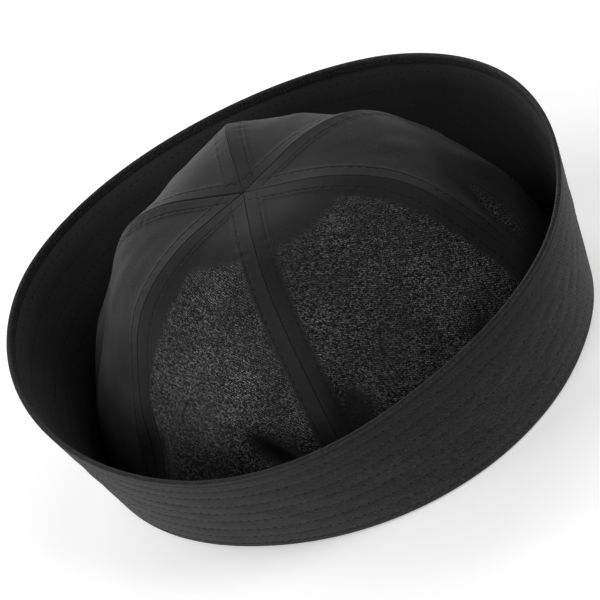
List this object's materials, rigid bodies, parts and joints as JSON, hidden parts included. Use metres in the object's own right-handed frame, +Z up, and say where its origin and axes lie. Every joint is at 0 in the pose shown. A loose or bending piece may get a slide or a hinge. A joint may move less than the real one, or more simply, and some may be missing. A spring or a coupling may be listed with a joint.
{
  "type": "sailor cap",
  "caption": "Soft cloth sailor cap: a gored dome crown inside a tall brim that is turned up all round, with rolled rim and stitched rows.",
  "frame": {"origin": "middle of the lower fold of the brim, on the plane the cap stands on", "axes": "+Z up through the crown, +X along the longer axis of the head opening towards the front, +Y towards the wearer's left"},
  "size_m": [0.2253, 0.2139, 0.0918],
  "materials": {
    "brim_drill": "matte black cotton drill, fine diagonal rib",
    "facing_drill": "matte black cotton drill, smooth",
    "crown_twill": "matte black cotton twill with a faint glint on the weave"
  },
  "bodies": {
    "root": {"brim_outer": "brim_drill", "brim_facing": "facing_drill", "crown_panel_1": "crown_twill", "crown_panel_2": "crown_twill", "crown_panel_3": "crown_twill", "crown_panel_4": "crown_twill", "crown_panel_5": "crown_twill", "crown_panel_6": "crown_twill"}
  },
  "joints": []
}
